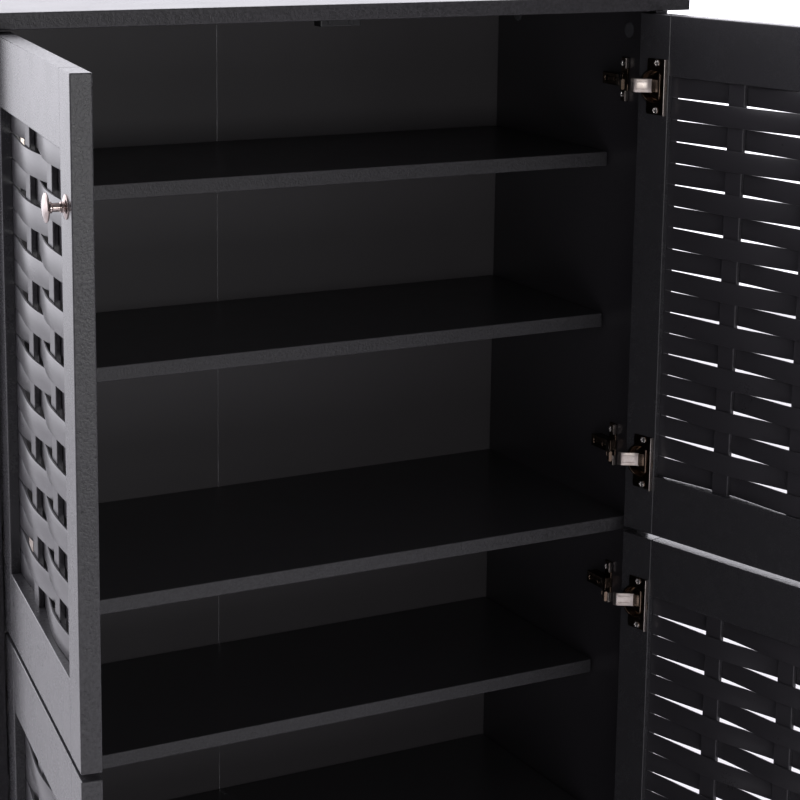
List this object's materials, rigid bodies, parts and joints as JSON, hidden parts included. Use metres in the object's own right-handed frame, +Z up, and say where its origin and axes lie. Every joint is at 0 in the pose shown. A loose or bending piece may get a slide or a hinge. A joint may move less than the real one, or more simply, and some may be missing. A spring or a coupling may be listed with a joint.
{
  "type": "shoe cabinet",
  "caption": "Tall dark shoe cabinet with woven-slat doors on concealed hinges over adjustable shelves and a fixed middle shelf.",
  "frame": {"origin": "on the floor under the middle of the plinth board", "axes": "+X to the right seen from the front, +Y to the back, +Z up; the doors face -Y"},
  "size_m": [0.8568, 0.6515, 1.2],
  "materials": {
    "top_board": "satin charcoal lacquer on fibreboard",
    "side_board": "satin charcoal lacquer on fibreboard",
    "inner_board": "satin charcoal lacquer on fibreboard",
    "back_board": "matt charcoal foil on thin fibreboard",
    "door_frame": "satin charcoal lacquer on fibreboard",
    "door_slats": "satin charcoal lacquer on thin bent slats",
    "door_bars": "satin charcoal lacquer",
    "polished_nickel": "polished nickel",
    "nickel_steel": "bright nickel-plated pressed steel on the links, lips and ears",
    "smoked_nickel": "dark nickel-plated pressed steel",
    "bright_steel": "zinc-plated steel",
    "cap_plastic": "dark grey plastic cap over a cam",
    "black_plastic": "black moulded plastic"
  },
  "bodies": {
    "cabinet": {"back_nails": "bright_steel", "back_panel_left": "back_board", "back_panel_right": "back_board", "bottom_panel": "inner_board", "cam_locks": "cap_plastic", "floor_glides": "black_plastic", "hinge_arms": "smoked_nickel", "hinge_mounting_plates": "smoked_nickel", "hinge_plate_screws": "bright_steel", "left_side_panel": "side_board", "lower_shelf_high": "inner_board", "lower_shelf_low": "inner_board", "magnetic_catches": "black_plastic", "middle_shelf": "inner_board", "plinth": "side_board", "right_side_panel": "side_board", "shelf_pins": "bright_steel", "top_panel": "top_board", "upper_shelf_high": "inner_board", "upper_shelf_low": "inner_board"},
    "upper_left_door": {"upper_left_bars": "door_bars", "upper_left_bottom_rail": "door_frame", "upper_left_cup_screws": "bright_steel", "upper_left_free_stile": "door_frame", "upper_left_hinge_cups": "smoked_nickel", "upper_left_hinge_stile": "door_frame", "upper_left_knob": "polished_nickel", "upper_left_slats": "door_slats", "upper_left_strike_plate": "bright_steel", "upper_left_top_rail": "door_frame"},
    "upper_right_door": {"upper_right_bars": "door_bars", "upper_right_bottom_rail": "door_frame", "upper_right_cup_screws": "bright_steel", "upper_right_free_stile": "door_frame", "upper_right_hinge_cups": "smoked_nickel", "upper_right_hinge_stile": "door_frame", "upper_right_knob": "polished_nickel", "upper_right_slats": "door_slats", "upper_right_strike_plate": "bright_steel", "upper_right_top_rail": "door_frame"},
    "lower_left_door": {"lower_left_bars": "door_bars", "lower_left_bottom_rail": "door_frame", "lower_left_cup_screws": "bright_steel", "lower_left_free_stile": "door_frame", "lower_left_hinge_cups": "smoked_nickel", "lower_left_hinge_stile": "door_frame", "lower_left_knob": "polished_nickel", "lower_left_slats": "door_slats", "lower_left_strike_plate": "bright_steel", "lower_left_top_rail": "door_frame"},
    "lower_right_door": {"lower_right_bars": "door_bars", "lower_right_bottom_rail": "door_frame", "lower_right_cup_screws": "bright_steel", "lower_right_free_stile": "door_frame", "lower_right_hinge_cups": "smoked_nickel", "lower_right_hinge_stile": "door_frame", "lower_right_knob": "polished_nickel", "lower_right_slats": "door_slats", "lower_right_strike_plate": "bright_steel", "lower_right_top_rail": "door_frame"}
  },
  "joints": [
    {"name": "upper_left_door_hinge", "type": "hinge", "parent": "cabinet", "child": "upper_left_door", "pos_m": [-0.3458, -0.0273, 0.9115], "axis": [0, 0, -1], "range_deg": [-99, 6]},
    {"name": "upper_right_door_hinge", "type": "hinge", "parent": "cabinet", "child": "upper_right_door", "pos_m": [0.3458, -0.0273, 0.9115], "axis": [0, 0, 1], "range_deg": [-103, 2]},
    {"name": "lower_left_door_hinge", "type": "hinge", "parent": "cabinet", "child": "lower_left_door", "pos_m": [-0.3458, -0.0273, 0.3635], "axis": [0, 0, -1], "range_deg": [-99, 6]},
    {"name": "lower_right_door_hinge", "type": "hinge", "parent": "cabinet", "child": "lower_right_door", "pos_m": [0.3458, -0.0273, 0.3635], "axis": [0, 0, 1], "range_deg": [-103, 2]}
  ]
}
